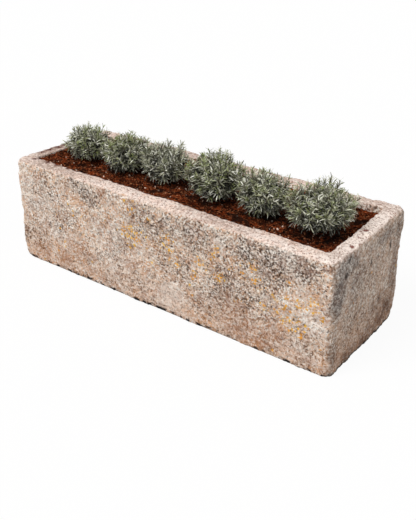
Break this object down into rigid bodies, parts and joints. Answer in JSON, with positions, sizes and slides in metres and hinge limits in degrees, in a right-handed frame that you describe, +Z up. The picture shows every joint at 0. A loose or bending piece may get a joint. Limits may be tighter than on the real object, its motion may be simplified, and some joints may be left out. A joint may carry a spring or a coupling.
{
  "type": "planted stone water trough",
  "caption": "Long hand-hewn limestone trough with worn edges, filled with soil and planted with a row of young lavender domes; free-standing, with drainage through the floor.",
  "frame": {"origin": "on the ground, under the middle of the trough's length and width", "axes": "+Z up; +X along the trough's length, to its right end; -Y is the front long face"},
  "size_m": [1.6256, 0.583, 0.6618],
  "materials": {
    "limestone": "rough, weathered",
    "terracotta": "matt, unglazed",
    "gravel": "rounded, matt",
    "soil": "crumbly, matt",
    "compost": "crumbly, matt",
    "wood": "matt bark",
    "leaves": "matt, felted"
  },
  "bodies": {
    "root": {"trough_body": "limestone", "drain_sherd_1": "terracotta", "drain_sherd_2": "terracotta", "drain_sherd_3": "terracotta", "drainage_gravel": "gravel", "potting_soil": "soil", "plant_1_root_ball": "compost", "plant_1_stock": "wood", "plant_1_foliage": "leaves", "plant_2_root_ball": "compost", "plant_2_stock": "wood", "plant_2_foliage": "leaves", "plant_3_root_ball": "compost", "plant_3_stock": "wood", "plant_3_foliage": "leaves", "plant_4_root_ball": "compost", "plant_4_stock": "wood", "plant_4_foliage": "leaves", "plant_5_root_ball": "compost", "plant_5_stock": "wood", "plant_5_foliage": "leaves", "plant_6_root_ball": "compost", "plant_6_stock": "wood", "plant_6_foliage": "leaves"}
  },
  "joints": []
}
